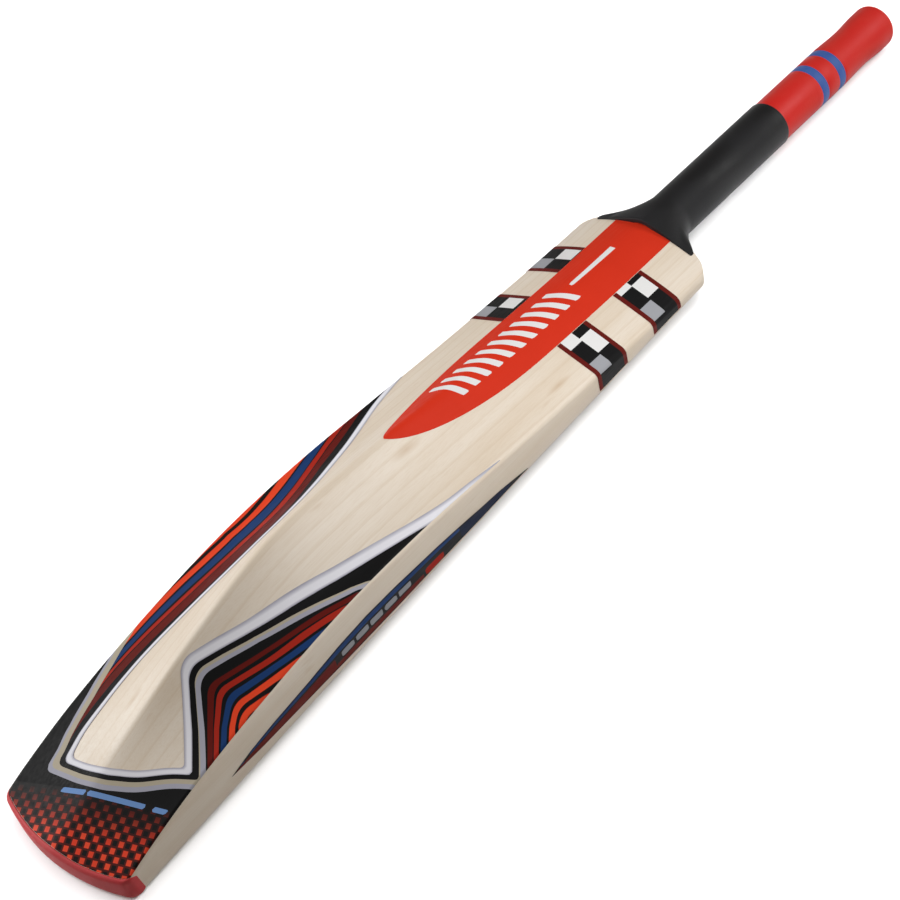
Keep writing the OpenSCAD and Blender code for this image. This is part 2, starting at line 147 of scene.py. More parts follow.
# ---------------------------------------------------------------- the blade's surface
def column(c, s):
    at, v = SECTIONS[:, 0], SECTIONS[:, c]
    last = len(at) - 1
    low, high = np.maximum(np.arange(last + 1) - 1, 0), np.minimum(np.arange(last + 1) + 1, last)
    lean = (v[high] - v[low]) / (at[high] - at[low])
    t = np.clip(np.asarray(s, float) / BLADE_L, 0, 1)
    i = np.clip(np.searchsorted(at, t, side="right") - 1, 0, last - 1)
    d = at[i + 1] - at[i]
    u = (t - at[i]) / d
    return ((2 * u**3 - 3 * u**2 + 1) * v[i] + (u**3 - 2 * u**2 + u) * d * lean[i]
            + (3 * u**2 - 2 * u**3) * v[i + 1] + (u**3 - u**2) * d * lean[i + 1])


def arc_drop(x, r):
    return r - np.sqrt(np.maximum(r * r - x * x, 0))


def corner_drop(x, r, half=HALF_W):
    return arc_drop(np.clip(np.abs(x) - (half - r), 0, r), r)


def face_mid(s):
    t = np.asarray(s, float) / BLADE_L
    return FACE_RISE * t + 4 * FACE_BOW * t * (1 - t)


def soft(x, k):
    return np.sqrt(x * x + k * k) - k


def side_z(s):
    return face_mid(s) + EDGE_MAX * column(1, s)


def back_z(x, s):
    k = column(4, s)
    q = np.minimum(soft(x, k) / soft(HALF_W, k), 1)
    ridge = face_mid(s) + SPINE_MAX * column(2, s)
    return side_z(s) + (ridge - side_z(s)) * (1 - q) ** column(3, s) - corner_drop(x, CORNER_R)


def toe_s(x):
    return arc_drop(x, TOE_ARC_R) + corner_drop(x, TOE_CORNER_R)


def shoulder_s(x):
    return BLADE_L - arc_drop(x, SHOULDER_ARC_R) - corner_drop(x, SHOULDER_CORNER_R)


def in_frame(x, s, z):
    """Points of the blade, in metres in the row frame."""
    x, s, z = np.broadcast_arrays(x, s, z)
    return np.stack([x, s - MID_S, z], -1) * MM


def on_handle(x, y, t):
    """Points of the handle, from x, height y over its axis and distance t along it."""
    c, n = math.cos(TILT), math.sin(TILT)
    return in_frame(x, ROOT_S + t * c + y * n, ROOT_Z - t * n + y * c)


def draped(points, y):
    """Lifts the upper points of the grip's foot, so that it lies over the shoulders."""
    x, s, z = points[:, 0] / MM, points[:, 1] / MM + MID_S, points[:, 2] / MM
    end = shoulder_s(np.clip(x, -HALF_W, HALF_W))
    need = np.maximum(back_z(x, np.minimum(s, end)) + DRAPE - z, 0) * np.clip(1 - (s - end) / 8, 0, 1)
    points[:, 2] += need * np.clip(1 + y / 2, 0, 1) * MM
    return points


# ---------------------------------------------------------------- flat sheets, cut along curves
class Sheet:
    """A grid of cells on a flat pattern. stamp() splits cells along curves, so a printed edge is sharp."""

    def __init__(self, u, v):
        rows, cols = u.shape
        self.p = np.stack([u.ravel(), v.ravel()], 1)
        n = np.arange(rows * cols).reshape(rows, cols)
        corners = np.stack([n[:-1, :-1], n[:-1, 1:], n[1:, 1:], n[1:, :-1]], -1)
        self.cells = corners.reshape(-1, 4).tolist()
        self.ink = [0] * len(self.cells)
        self.beside = {}
        for i in range(len(self.cells)):
            self.enter(i)

    @staticmethod
    def sides(cell):
        return [(a, b, (min(a, b), max(a, b))) for a, b in zip(cell, cell[1:] + cell[:1])]

    def enter(self, i):
        for _, _, e in self.sides(self.cells[i]):
            self.beside.setdefault(e, set()).add(i)

    def leave(self, i):
        for _, _, e in self.sides(self.cells[i]):
            self.beside[e].discard(i)

    def split(self, field, live):
        """Splits the live cells where field(u, v) is zero, and returns those where it is positive."""
        if not live:
            return []
        used = np.unique(np.concatenate([self.cells[i] for i in live]))
        f = np.zeros(len(self.p))
        value = field(self.p[used, 0], self.p[used, 1])
        f[used] = np.where(np.abs(value) < 1e-4, 1e-4, value)
        up = (f > 0).tolist()
        crossed, todo, kept = {}, [], []
        for i in live:
            inside = [up[a] for a in self.cells[i]]
            if all(inside):
                kept.append(i)
            elif any(inside):
                todo.append(i)
                for a, b, e in self.sides(self.cells[i]):
                    if up[a] != up[b]:
                        crossed.setdefault(e, len(crossed))
        if not todo:
            return kept
        ends = np.array(list(crossed))
        a, b = self.p[ends[:, 0]], self.p[ends[:, 1]]
        fa, fb = f[ends[:, 0]], f[ends[:, 1]]
        for _ in range(3):
            new = a + (b - a) * (fa / (fa - fb))[:, None]
            fn = field(new[:, 0], new[:, 1])
            same = (fn > 0) == (fa > 0)
            tiny = np.where(fa > 0, 1e-9, -1e-9)
            a, fa = np.where(same[:, None], new, a), np.where(same, fn, fa)
            b, fb = np.where(same[:, None], b, new), np.where(same, fb, fn)
            fa, fb = np.where(np.abs(fa) < 1e-9, tiny, fa), np.where(np.abs(fb) < 1e-9, -tiny, fb)
        middle = {e: len(self.p) + k for e, k in crossed.items()}
        self.p = np.vstack([self.p, new])
        # a neighbour outside the live cells takes the new corner too, so that no gap opens
        for i in {n for e in crossed for n in self.beside[e]} - set(todo):
            self.leave(i)
            self.cells[i] = [k for a, b, e in self.sides(self.cells[i])
                             for k in ([a, middle[e]] if e in middle else [a])]
            self.enter(i)
        for i in todo:
            halves = ([], [])
            self.leave(i)
            for a, b, e in self.sides(self.cells[i]):
                halves[up[a]].append(a)
                if up[a] != up[b]:
                    halves[0].append(middle[e])
                    halves[1].append(middle[e])
            self.cells[i] = halves[0]
            self.cells.append(halves[1])
            self.ink.append(self.ink[i])
            self.enter(i)
            self.enter(len(self.cells) - 1)
            kept.append(len(self.cells) - 1)
        return kept

    def stamp(self, ink, *fields, over=None):
        """Cuts along each field, and gives the ink to the cells where all of them are positive."""
        live = [i for i, k in enumerate(self.ink) if over is None or k in over]
        for f in fields:
            live = self.split(f, live)
        for i in live:
            self.ink[i] = ink
        return self

    def drop(self, ink):
        keep = [i for i, k in enumerate(self.ink) if k != ink]
        self.cells = [self.cells[i] for i in keep]
        self.ink = [self.ink[i] for i in keep]
        self.beside = {}
        for i in range(len(self.cells)):
            self.enter(i)
        return self

    def turn_over(self):
        self.cells = [c[::-1] for c in self.cells]
        return self


def mesh_object(name, points, faces, inks, materials, normals=None, values=None, flat=()):
    """A mesh in the row frame. normals holds one per corner, or a zero vector for the face's own."""
    mesh = bpy.data.meshes.new(name)
    mesh.from_pydata(points.tolist(), [], faces)
    for m in materials:
        mesh.materials.append(m)
    mesh.polygons.foreach_set("material_index", inks)
    mesh.polygons.foreach_set("use_smooth", [i not in flat for i in range(len(faces))])
    for key, v in (values or {}).items():
        mesh.attributes.new(key, "FLOAT", "POINT").data.foreach_set("value", np.asarray(v, np.float32))
    mesh.update()
    if normals is not None:
        mesh.normals_split_custom_set(normals.tolist())
    piece = bpy.data.objects.new(name, mesh)
    bpy.context.scene.collection.objects.link(piece)
    return piece


def slab(name, sheet, high, low, materials, rim=None, values=None):
    """A thin or thick closed solid on a Sheet. high and low place a pattern point in the row frame."""
    used = sorted({a for c in sheet.cells for a in c})
    place = {a: k for k, a in enumerate(used)}
    cells = [[place[a] for a in c] for c in sheet.cells]
    u, v = sheet.p[used].T
    n = len(used)
    points = np.vstack([high(u, v), low(u, v)])
    edges = {}
    for i, c in enumerate(cells):
        for a, b in zip(c, c[1:] + c[:1]):
            if (b, a) in edges:
                del edges[(b, a)]
            else:
                edges[(a, b)] = i
    faces = cells + [[n + a for a in reversed(c)] for c in cells]
    faces += [[a, n + a, n + b, b] for a, b in edges]
    inks = sheet.ink + sheet.ink + [sheet.ink[i] if rim is None else rim for i in edges.values()]

    def slopes(surface):
        e = 0.02
        across = surface(u + e, v) - surface(u - e, v)
        along = surface(u, v + e) - surface(u, v - e)
        cross = np.cross(across, along)
        return cross / np.maximum(np.linalg.norm(cross, axis=1), 1e-12)[:, None]

    up, down = slopes(high), -slopes(low)
    top, c = points[:n], cells[0]
    outward = np.cross(top[c[1]] - top[c[0]], top[c[2]] - top[c[1]])
    if outward @ up[c[1]] < 0:
        up, down = -up, -down
    first = [up[a] for c in cells for a in c]
    second = [down[a] for c in cells for a in reversed(c)]
    walls = np.zeros((4 * len(edges), 3))
    made = {k: np.concatenate([f(u, v), f(u, v)]) for k, f in (values or {}).items()}
    return mesh_object(name, points, faces, inks, materials, np.vstack([first, second, walls]), made)


def dense(points, per=10):
    """A smooth curve through the points, as many short pieces."""
    p = np.array(points, float)
    padded = np.vstack([2 * p[0] - p[1], p, 2 * p[-1] - p[-2]])
    out = []
    for i in range(len(p) - 1):
        a, b, c, d = padded[i:i + 4]
        t = np.linspace(0, 1, per, endpoint=False)[:, None]
        out.append(0.5 * (2 * b + (c - a) * t + (2 * a - 5 * b + 4 * c - d) * t**2
                          + (3 * b - a - 3 * c + d) * t**3))
    return np.vstack(out + [p[-1:]])


def beside(curve, left):
    """How far a point lies to one side of a curve, and the s of the nearest place on it."""
    a, b = curve[:-1], curve[1:]
    d = b - a
    length = (d**2).sum(1)
    sign = 1 if left else -1

    def measure(x, s):
        p = np.stack([x, s], 1)[:, None, :]
        t = np.clip(((p - a) * d).sum(2) / length, 0, 1)
        near = a + d * t[..., None]
        gap = p - near
        dist = np.hypot(gap[..., 0], gap[..., 1])
        i = dist.argmin(1)
        rows = np.arange(len(i))
        cross = d[i, 0] * gap[rows, i, 1] - d[i, 1] * gap[rows, i, 0]
        return np.where(cross >= 0, 1, -1) * sign * dist[rows, i], near[rows, i, 1]

    return measure


def blend_low(a, b, k):
    h = np.maximum(k - np.abs(a - b), 0) / k
    return np.minimum(a, b) - h * h * k / 4


def blend_high(a, b, k):
    return -blend_low(-a, -b, k)


# ---------------------------------------------------------------- materials
def linear(rgb):
    c = np.array(rgb, float) / 255
    return (*np.where(c <= 0.04045, c / 12.92, ((c + 0.055) / 1.055) ** 2.4), 1.0)


class Paint:
    """A material and short names for making its nodes."""

    def __init__(self, name, rgb, roughness):
        self.m = bpy.data.materials.new(name)
        self.m.use_nodes = True
        self.tree = self.m.node_tree
        self.shader = self.tree.nodes["Principled BSDF"]
        self.shader.inputs["Base Color"].default_value = linear(rgb)
        self.shader.inputs["Roughness"].default_value = roughness
        self.m.diffuse_color = linear(rgb)
        self.place = self.node("ShaderNodeTexCoord").outputs["Object"]

    def node(self, kind, inputs=None, **settings):
        n = self.tree.nodes.new(kind)
        for k, v in settings.items():
            setattr(n, k, v)
        for k, v in (inputs or {}).items():
            if isinstance(v, bpy.types.NodeSocket):
                self.tree.links.new(v, n.inputs[k])
            else:
                n.inputs[k].default_value = v
        return n

    def stretched(self, scale, turn=(0, 0, 0)):
        n = self.node("ShaderNodeMapping", {"Vector": self.place, "Scale": scale, "Rotation": turn})
        return n.outputs[0]

    def noise(self, vector, scale, detail, rough):
        return self.node("ShaderNodeTexNoise", {"Vector": vector, "Scale": scale, "Detail": detail,
                                                "Roughness": rough}).outputs["Fac"]

    def math(self, how, a, b=0.0):
        n = self.node("ShaderNodeMath", operation=how)
        for i, v in enumerate((a, b)):
            if isinstance(v, bpy.types.NodeSocket):
                self.tree.links.new(v, n.inputs[i])
            else:
                n.inputs[i].default_value = v
        return n.outputs[0]

    def ramp(self, fac, stops):
        n = self.node("ShaderNodeValToRGB", {"Fac": fac})
        while len(n.color_ramp.elements) < len(stops):
            n.color_ramp.elements.new(0.5)
        for e, (at, colour) in zip(n.color_ramp.elements, stops):
            e.position = at
            e.color = linear(colour)
        return n.outputs["Color"]

    def scale_to(self, fac, low, high, from_low=0.0, from_high=1.0):
        return self.node("ShaderNodeMapRange", {"Value": fac, "From Min": from_low, "From Max": from_high,
                                                "To Min": low, "To Max": high}).outputs["Result"]

    def mix(self, fac, a, b):
        n = self.node("ShaderNodeMix", data_type="RGBA")
        for i, v in ((0, fac), (6, a), (7, b)):
            if isinstance(v, bpy.types.NodeSocket):
                self.tree.links.new(v, n.inputs[i])
            else:
                n.inputs[i].default_value = v
        return n.outputs[2]

    def use(self, socket, value):
        self.tree.links.new(value, self.shader.inputs[socket])
        return self

    def bump(self, height, strength, distance):
        n = self.node("ShaderNodeBump", {"Height": height, "Strength": strength, "Distance": distance})
        return self.use("Normal", n.outputs["Normal"])

    def value(self, name):
        return self.node("ShaderNodeAttribute", attribute_name=name).outputs["Fac"]


INK_ROUGHNESS = 0.55


def ink(name, rgb, edge=None, attribute=None):
    """Printed vinyl: an even colour with slight unevenness, fine scuffs and a faint grain. Given an
    attribute, the colour runs to the edge colour at both sides of the stripe, a painted shade.
    """
    p = Paint("ink_" + name, rgb, INK_ROUGHNESS)
    cloudy = p.noise(p.place, 45, 4, 0.6)
    scuffs = p.noise(p.stretched((900, 60, 900)), 1, 3, 0.6)
    colour = linear(rgb)
    # the edge colour at both ends of the attribute's range is painted shade
    if attribute:
        stops = [(0.0, edge), (0.38, rgb), (0.8, rgb), (1.0, edge)]
        colour = p.ramp(p.value(attribute), stops)
    dull = tuple(c * 0.86 for c in linear(rgb)[:3]) + (1.0,)
    p.use("Base Color", p.mix(p.scale_to(cloudy, 0.0, 0.4, 0.3, 0.8), colour, dull))
    p.use("Roughness", p.scale_to(scuffs, INK_ROUGHNESS - 0.08, INK_ROUGHNESS + 0.14, 0.3, 0.7))
    p.bump(p.noise(p.place, 1600, 2, 0.5), 0.12, 0.00005)
    p.shader.inputs["Specular IOR Level"].default_value = 0.1
    return p.m


# Soft tan marks in the blade's wood, as [x, s] in mm with half their width and length
WOOD_MARKS = [((12, 310), (2.6, 12)), ((42, 418), (2.2, 10)), ((-12, 88), (1.8, 8))]


def willow():
    """Pale willow with straight lengthwise grain, fine pores and a few soft tan marks, under thin oil."""
    p = Paint("willow", (236, 222, 203), 0.5)
    drift = p.noise(p.stretched((7, 0.9, 7)), 1, 2, 0.5)
    axes = p.node("ShaderNodeSeparateXYZ", {"Vector": p.place}).outputs
    lines = p.math("ADD", p.math("MULTIPLY", axes[0], 125.0), p.math("MULTIPLY", drift, 1.3))
    saw = p.math("FRACT", lines)
    grain = p.ramp(saw, [(0.0, (0, 0, 0)), (0.72, (60, 60, 60)), (0.93, (255, 255, 255)), (1.0, (0, 0, 0))])
    fibre = p.noise(p.stretched((1500, 20, 1500)), 1, 4, 0.65)
    broad = p.noise(p.stretched((60, 3, 60)), 1, 3, 0.5)
    flecks = p.noise(p.stretched((120, 28, 120)), 1, 2, 0.5)
    tones = (242, 230, 214), (233, 217, 196), (212, 188, 156), (204, 174, 138)
    pale, warm, line, fleck = (linear(c) for c in tones)
    colour = p.mix(p.scale_to(broad, 0.0, 1.0, 0.35, 0.7), pale, warm)
    colour = p.mix(p.math("MULTIPLY", grain, 0.26), colour, line)
    colour = p.mix(p.scale_to(fibre, 0.0, 0.28, 0.45, 0.75), colour, line)
    colour = p.mix(p.scale_to(flecks, 0.0, 0.35, 0.70, 0.82), colour, fleck)
    for (x, s), size in WOOD_MARKS:
        off = [p.math("MULTIPLY", p.math("SUBTRACT", axes[i], at * MM), 1 / (half * MM))
               for i, at, half in ((0, x, size[0]), (1, s - MID_S, size[1]))]
        squares = [p.math("MULTIPLY", d, d) for d in off]
        away = p.math("SQRT", p.math("ADD", squares[0], squares[1]))
        ragged = p.math("ADD", away, p.math("MULTIPLY", fibre, 0.5))
        colour = p.mix(p.scale_to(ragged, 0.55, 0.0, 0.3, 1.5), colour, fleck)
    p.use("Base Color", colour)
    p.use("Roughness", p.scale_to(fibre, 0.42, 0.6, 0.3, 0.7))
    p.bump(p.math("ADD", fibre, p.math("MULTIPLY", grain, 0.5)), 0.25, 0.00012)
    p.shader.inputs["Coat Weight"].default_value = 0.1
    p.shader.inputs["Coat Roughness"].default_value = 0.4
    return p.m


def cane_wood():
    """Handle cane: straw colour, close straight fibres and dark pores along it."""
    p = Paint("cane_wood", (206, 170, 112), 0.5)
    fibre = p.noise(p.stretched((2200, 20, 2200)), 1, 4, 0.7)
    pores = p.noise(p.stretched((1100, 60, 1100)), 1, 2, 0.5)
    tone = p.noise(p.stretched((70, 4, 70)), 1, 2, 0.5)
    colour = p.mix(tone, linear((214, 182, 128)), linear((196, 156, 98)))
    colour = p.mix(p.scale_to(fibre, 0.0, 0.6, 0.4, 0.75), colour, linear((158, 116, 66)))
    colour = p.mix(p.scale_to(pores, 0.0, 0.7, 0.62, 0.72), colour, linear((110, 76, 42)))
    p.use("Base Color", colour)
    p.use("Roughness", p.scale_to(fibre, 0.42, 0.66, 0.3, 0.7))
    p.bump(fibre, 0.3, 0.0001)
    return p.m


def rubber(name, rgb, highlight_rgb, roughness=0.62, highlight_share=0.35):
    """Moulded rubber grip: matt, with soft lighter blotches of painted highlight and a fine pebbled skin."""
    p = Paint(name, rgb, roughness)
    blotch = p.noise(p.stretched((26, 26, 26)), 1, 4, 0.6)
    pebble = p.node("ShaderNodeTexVoronoi", {"Vector": p.place, "Scale": 900.0}).outputs["Distance"]
    fine = p.noise(p.place, 2600, 2, 0.5)
    # the blotches mix in the lighter colour as a painted highlight
    p.use("Base Color", p.mix(p.scale_to(blotch, 0.0, highlight_share, 0.42, 0.72), linear(rgb), linear(highlight_rgb)))
    p.use("Roughness", p.scale_to(blotch, roughness - 0.1, roughness + 0.12, 0.3, 0.7))
    p.bump(p.math("ADD", pebble, p.math("MULTIPLY", fine, 0.4)), 0.35, 0.00012)
    p.shader.inputs["Specular IOR Level"].default_value = 0.3
    p.shader.inputs["Sheen Weight"].default_value = 0.03
    p.shader.inputs["Sheen Roughness"].default_value = 0.5
    return p.m


def twine_wrap():
    """Waxed linen twine laid in close turns."""
    p = Paint("twine_wrap", (214, 200, 168), 0.7)
    turn = p.stretched((1, 1, 1), (-TILT, 0, 0))
    along = p.node("ShaderNodeSeparateXYZ", {"Vector": turn}).outputs[1]
    laid = p.math("PINGPONG", p.math("MULTIPLY", along, 1000 / 0.9), 0.5)
    hair = p.noise(p.place, 1800, 3, 0.6)
    # The colour darkens into the groove between turns, a painted shade.
    colour = p.mix(p.scale_to(laid, 0.75, 0.0, 0.0, 0.5), linear((220, 206, 174)), linear((136, 112, 76)))
    p.use("Base Color", p.mix(p.scale_to(hair, 0.0, 0.4, 0.4, 0.7), colour, linear((176, 150, 108))))
    p.use("Roughness", p.scale_to(hair, 0.6, 0.8))
    p.bump(laid, 0.6, 0.0003)
    return p.m


def toe_print():
    """Black vinyl with slanted rows of orange and black squares on dark red, fading away from the toe."""
    p = Paint("toe_print", (20, 20, 20), 0.5)
    pitch, slant = 4.2, math.radians(19.3)
    axes = p.node("ShaderNodeSeparateXYZ", {"Vector": p.stretched((1, 1, 1), (0, 0, -slant))})
    cells, off = [], []
    for i in (0, 1):
        c = p.math("MULTIPLY", axes.outputs[i], 1000 / pitch)
        cells.append(p.math("FLOOR", c))
        off.append(p.math("MULTIPLY", p.math("ABSOLUTE", p.math("SUBTRACT", p.math("FRACT", c), 0.5)), pitch))
    reach = p.math("MAXIMUM", off[0], off[1])
    odd = p.math("PINGPONG", p.math("ADD", cells[0], cells[1]), 1.0)
    orange = p.math("MULTIPLY", p.math("SUBTRACT", 1.0, odd), p.math("LESS_THAN", reach, 1.6))
    black = p.math("MULTIPLY", odd, p.math("LESS_THAN", reach, 1.4))
    seed = p.node("ShaderNodeCombineXYZ", {"X": cells[0], "Y": cells[1]}).outputs[0]
    chance = p.node("ShaderNodeTexWhiteNoise", {"Vector": seed}, noise_dimensions="2D").outputs["Value"]
    bright = p.mix(chance, linear((255, 84, 50)), linear((238, 64, 38)))
    colour = p.mix(orange, linear((84, 24, 18)), bright)
    colour = p.mix(black, colour, linear((14, 12, 12)))
    near = p.value("toe_fade")
    p.use("Base Color", p.mix(near, linear((20, 20, 20)), colour))
    p.use("Roughness", p.scale_to(p.noise(p.stretched((900, 60, 900)), 1, 3, 0.6), 0.42, 0.6, 0.3, 0.7))
    p.bump(p.noise(p.place, 1600, 2, 0.5), 0.12, 0.00005)
    p.shader.inputs["Specular IOR Level"].default_value = 0.1
    return p.m


BLACK = ink("black", (20, 20, 21))
# The silver stripe's grey edges are painted shade, darker than its white middle.
SILVER = ink("silver", (246, 246, 254), (156, 154, 172), "silver_shade_across")
LILAC = ink("lilac", (176, 176, 190))
TAN = ink("tan", (190, 180, 160))
DARK_RED = ink("dark_red", (104, 24, 18))
RED = ink("red", (176, 42, 28))
NAVY = ink("navy", (28, 62, 116))
ORANGE = ink("orange", (240, 74, 40))
WHITE = ink("white", (240, 240, 240))
GREY = ink("grey", (168, 170, 176))
DEEP_NAVY = ink("deep_navy", (12, 24, 50))
BLUE = ink("pale_blue", (118, 158, 216))
LABEL_RED = ink("label_red", (222, 54, 30))
TOE_PRINT = toe_print()
WILLOW = willow()
CANE = cane_wood()
TWINE = twine_wrap()
# The lighter colour given to each rubber is the tone of its painted highlight blotches.
BLACK_RUBBER = rubber("black_rubber", (18, 18, 20), (44, 44, 48))
RED_RUBBER = rubber("red_rubber", (228, 38, 30), (224, 74, 60), 0.55, 0.35)
BLUE_RUBBER = rubber("blue_rubber", (60, 98, 178), (104, 134, 190), 0.55, 0.4)
TOE_RUBBER = rubber("toe_rubber", (212, 60, 66), (222, 120, 116), 0.6, 0.4)
INSERT_RUBBER = rubber("insert_rubber", (30, 30, 30), (52, 52, 52))


# ---------------------------------------------------------------- blade
def columns(reach, inner=12.0, fine=1.0, coarse=2.2):
    """Places across the blade, closer together on the ridge."""
    middle = np.arange(0, inner, fine)
    outer = np.linspace(inner, reach, int((reach - inner) / coarse) + 1)
    half = np.concatenate([middle, outer])
    return np.concatenate([-half[:0:-1], half])


# How far the edge round the shoulders is eased
ROUND = 1.2
corner = HALF_W - CORNER_R + CORNER_R * np.sin(np.radians(np.arange(12, 91, 13)))
xs = columns(HALF_W - CORNER_R)
xs = np.concatenate([-corner[::-1], xs, corner])
ends = ROUND * (1 - np.cos(np.radians(np.arange(0, 91, 18))))
body = np.linspace(0, 1, 260)[1:-1]
rows = [toe_s(xs)]
for t in body:
    rows.append(toe_s(xs) * (1 - t) + (shoulder_s(xs) - ROUND) * t)
for k in ends[::-1]:
    rows.append(shoulder_s(xs) - k)
blade_sheet = Sheet(np.tile(xs, (len(rows), 1)), np.array(rows))


def in_slot(x, s):
    """Positive inside the V slot that the handle's splice is glued into."""
    tip = BLADE_L - SPLICE_L
    half = SPLICE_TIP_W / 2 + (SPLICE_W - SPLICE_TIP_W) / 2 * (s - tip) / SPLICE_L
    return np.minimum(half - np.abs(x), s - tip)


SLOT = 1
blade_sheet.stamp(SLOT, in_slot).drop(SLOT)


def end_drop(x, s):
    """How much the shoulders' edges are eased."""
    return arc_drop(np.clip(ROUND - (shoulder_s(x) - s), 0, ROUND), ROUND)


def face_s(x, s):
    """Distance along the face, which starts later than the back because the toe is cut on a slant."""
    return s + TOE_SLANT * np.clip(1 - (s - toe_s(x)) / 40, 0, 1) ** 1.5


def blade_back(x, s):
    return in_frame(x, s, back_z(np.clip(x, -HALF_W, HALF_W), s) - end_drop(x, s))


def blade_face(x, s):
    along = face_s(x, s)
    return in_frame(x, along, face_mid(along) + corner_drop(x, CORNER_R) + end_drop(x, s))


blade = slab("blade", blade_sheet, blade_back, blade_face, [WILLOW])
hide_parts("blade")

# ---------------------------------------------------------------- printed sheet on the back
upper = beside(dense(WINDOW_RIGHT), True)
diagonal = beside(np.array(WINDOW_DIAGONAL, float), True)
foot = beside(dense(WINDOW_FOOT), True)
left_edge = beside(dense(WINDOW_LEFT), True)


def edge(name):
    """Distance beyond a stripe's outer edge, all round the window. None is the window's own edge."""
    def field(x, s):
        d_up, s_up = upper(x, s)
        d_down, s_down = diagonal(x, s)
        d_foot, _ = foot(x, s)
        d_left, s_left = left_edge(x, s)
        if name:
            d_up = d_up - np.interp(s_up, UP_S, UP[name])
            d_down = d_down - np.interp(s_down, DOWN_S, DOWN[name])
            d_foot = d_foot - FOOT[name]
            d_left = d_left - np.interp(s_left, LEFT_S, LEFT[name])
        right = blend_low(d_up, d_down, 7.0)
        return blend_high(blend_high(right, d_foot, 3.0), d_left, 5.0)
    return field


def right_edge(name):
    def field(x, s):
        d_up, s_up = upper(x, s)
        d_down, s_down = diagonal(x, s)
        return blend_low(d_up - np.interp(s_up, UP_S, UP[name]),
                         d_down - np.interp(s_down, DOWN_S, DOWN[name]), 5.0)
    return field


def left_of(name, beyond=0.0):
    def field(x, s):
        d, near = left_edge(x, s)
        return d - np.interp(near, LEFT_S, LEFT[name]) - beyond
    return field


def inverse(f):
    return lambda x, s: -f(x, s)


def right_part(x, s):
    return x - 4


def left_part(x, s):
    return -x - 8


# A thin black line stays between the dark red and the red stripe on the left
RED_GAP = 0.8
# The squares at the toe have faded out where s = FADE_S + FADE_SLOPE * x
FADE_S, FADE_SLOPE, FADE_OVER = 35.5, 0.35, 27.0
INKS = [BLACK, SILVER, TAN, LILAC, DARK_RED, RED, NAVY, ORANGE, TOE_PRINT, BLUE]
K_BLACK, K_SILVER, K_TAN, K_LILAC, K_DARK, K_RED, K_NAVY, K_ORANGE, K_TOE, K_BLUE, K_BARE = range(11)
xs = columns(SHEET_EDGE_X - 1.8, 12, 1.0, 1.6)
xs = np.concatenate([[-SHEET_EDGE_X, -52.2, -51.6], xs, [51.6, 52.2, SHEET_EDGE_X]])
rows = [toe_s(xs) * (1 - t) + TOE_MARGIN * (1 - t) + SHEET_LEFT_S * t for t in np.linspace(0, 1, 190)]
print_sheet = Sheet(np.tile(xs, (len(rows), 1)), np.array(rows))
print_sheet.stamp(K_BARE, inverse(edge(None)))
print_sheet.stamp(K_BARE, lambda x, s: s - SHEET_RIGHT_S, lambda x, s: x)
print_sheet.drop(K_BARE)
print_sheet.stamp(K_SILVER, inverse(edge("silver")))
print_sheet.stamp(K_TAN, edge("tan"), inverse(edge("lilac")), over=[K_BLACK])
print_sheet.stamp(K_LILAC, edge("lilac"), inverse(edge("black")), over=[K_BLACK])
for inner, outer, k in (("dark_red_in", "dark_red_out", K_DARK), ("red_in", "red_out", K_RED),
                        ("navy_in", "navy_out", K_NAVY), ("orange_in", "orange_out", K_ORANGE),
                        ("orange2_in", "orange2_out", K_ORANGE)):
    print_sheet.stamp(k, right_part, right_edge(inner), inverse(right_edge(outer)), over=[K_BLACK])
inside = inverse(edge("tan"))
for k, inner, outer in ((K_DARK, left_of("dark_red_in"), "dark_red_out"),
                        (K_RED, left_of("dark_red_out", RED_GAP), "red_out"),
                        (K_NAVY, left_of("navy_in"), "navy_out"),
                        (K_ORANGE, left_of("orange_in"), "orange_out")):
    print_sheet.stamp(k, left_part, inside, inner, inverse(left_of(outer)), over=[K_BLACK])
print_sheet.stamp(K_ORANGE, left_part, inside, left_of("orange2_in"), over=[K_BLACK])
print_sheet.stamp(K_TOE, lambda x, s: FADE_S + FADE_SLOPE * x - s, over=[K_BLACK])

BAR_AT, BAR_TURN = (-18.5, 27.5), math.radians(18.5)


def bar(start, end, half):
    """A plain slanted bar, which stands where the object has a line of script."""
    def field(x, s):
        p = (x - BAR_AT[0]) * math.cos(BAR_TURN) + (s - BAR_AT[1]) * math.sin(BAR_TURN)
        q = (s - BAR_AT[1]) * math.cos(BAR_TURN) - (x - BAR_AT[0]) * math.sin(BAR_TURN)
        return np.minimum(half - np.abs(q), np.minimum(p - q * 0.5 - start, end - p + q * 0.5))
    return field


for start, end in ((0, 17), (18.5, 57), (62, 71)):
    print_sheet.stamp(K_BLUE, bar(start, end, 1.5), over=[K_BLACK, K_TOE])


def lift(out):
    return lambda x, s: in_frame(x, s, back_z(x, s) + GAP + out)


silver_in, silver_out = edge(None), edge("silver")
print_piece = slab(
    "back_graphic", print_sheet, lift(STICKER_T), lift(0), INKS,
    values={
        # the share across the silver stripe, which places its painted shade at both edges
        "silver_shade_across": lambda x, s: silver_in(x, s) / np.maximum(silver_in(x, s) - silver_out(x, s), 0.5),
        "toe_fade": lambda x, s: np.clip((FADE_S + FADE_SLOPE * x - s) / FADE_OVER, 0, 1) ** 1.5,
    })
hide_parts("back_graphic")


# ---------------------------------------------------------------- ridge label
def label_half(s):
    u = np.clip((s - LABEL_TIP_S) / (LABEL_FULL_S - LABEL_TIP_S), 0, 1)
    return np.maximum(LABEL_HALF_W * np.sin(np.pi / 2 * u**0.66), 0.3)


share = np.linspace(-1, 1, 47)
stations = LABEL_TIP_S + (LABEL_TOP_S - LABEL_TIP_S) * np.linspace(0, 1, 150) ** 1.25
label_sheet = Sheet(label_half(stations)[:, None] * share[None, :],
                    np.tile(stations[:, None], (1, len(share))))
